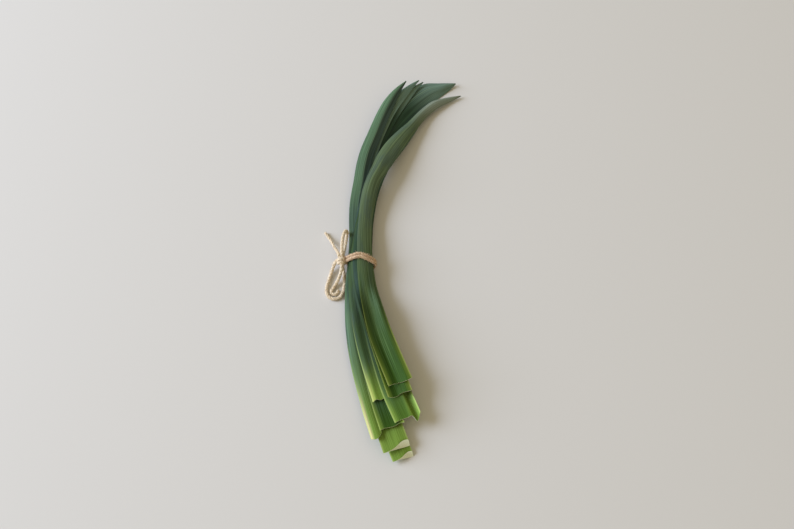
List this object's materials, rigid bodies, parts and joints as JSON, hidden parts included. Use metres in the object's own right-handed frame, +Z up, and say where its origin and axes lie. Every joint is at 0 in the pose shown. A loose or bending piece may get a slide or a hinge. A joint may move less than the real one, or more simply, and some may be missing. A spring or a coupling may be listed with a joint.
{
  "type": "bunch of pandan leaves",
  "caption": "Bunch of long folded strap leaves with pointed tips and cut ends, bent in a gentle bow and tied round the middle with jute twine in a bow knot.",
  "frame": {"origin": "on the table under the middle of the bunch's box, without the bow's loops and tails", "axes": "+Y from the cut ends towards the tips, +Z up, +X to the side the ends bend towards"},
  "size_m": [0.1443, 0.4281, 0.0251],
  "materials": {
    "leaf_dark": "satin",
    "leaf_mid": "satin",
    "leaf_lime": "satin",
    "jute": "matte"
  },
  "bodies": {
    "root": {"leaf_broad_tip": "leaf_dark", "leaf_lowest": "leaf_lime", "leaf_lime_end": "leaf_lime", "leaf_outer_left": "leaf_mid", "leaf_inner_left": "leaf_dark", "leaf_narrow": "leaf_mid", "leaf_keeled": "leaf_mid", "leaf_second": "leaf_dark", "leaf_top": "leaf_mid", "twine_turn_lower": "jute", "twine_turn_upper": "jute", "twine_knot": "jute", "twine_loop_upper": "jute", "twine_loop_lower": "jute", "twine_tail_long": "jute", "twine_tail_short": "jute"}
  },
  "joints": []
}
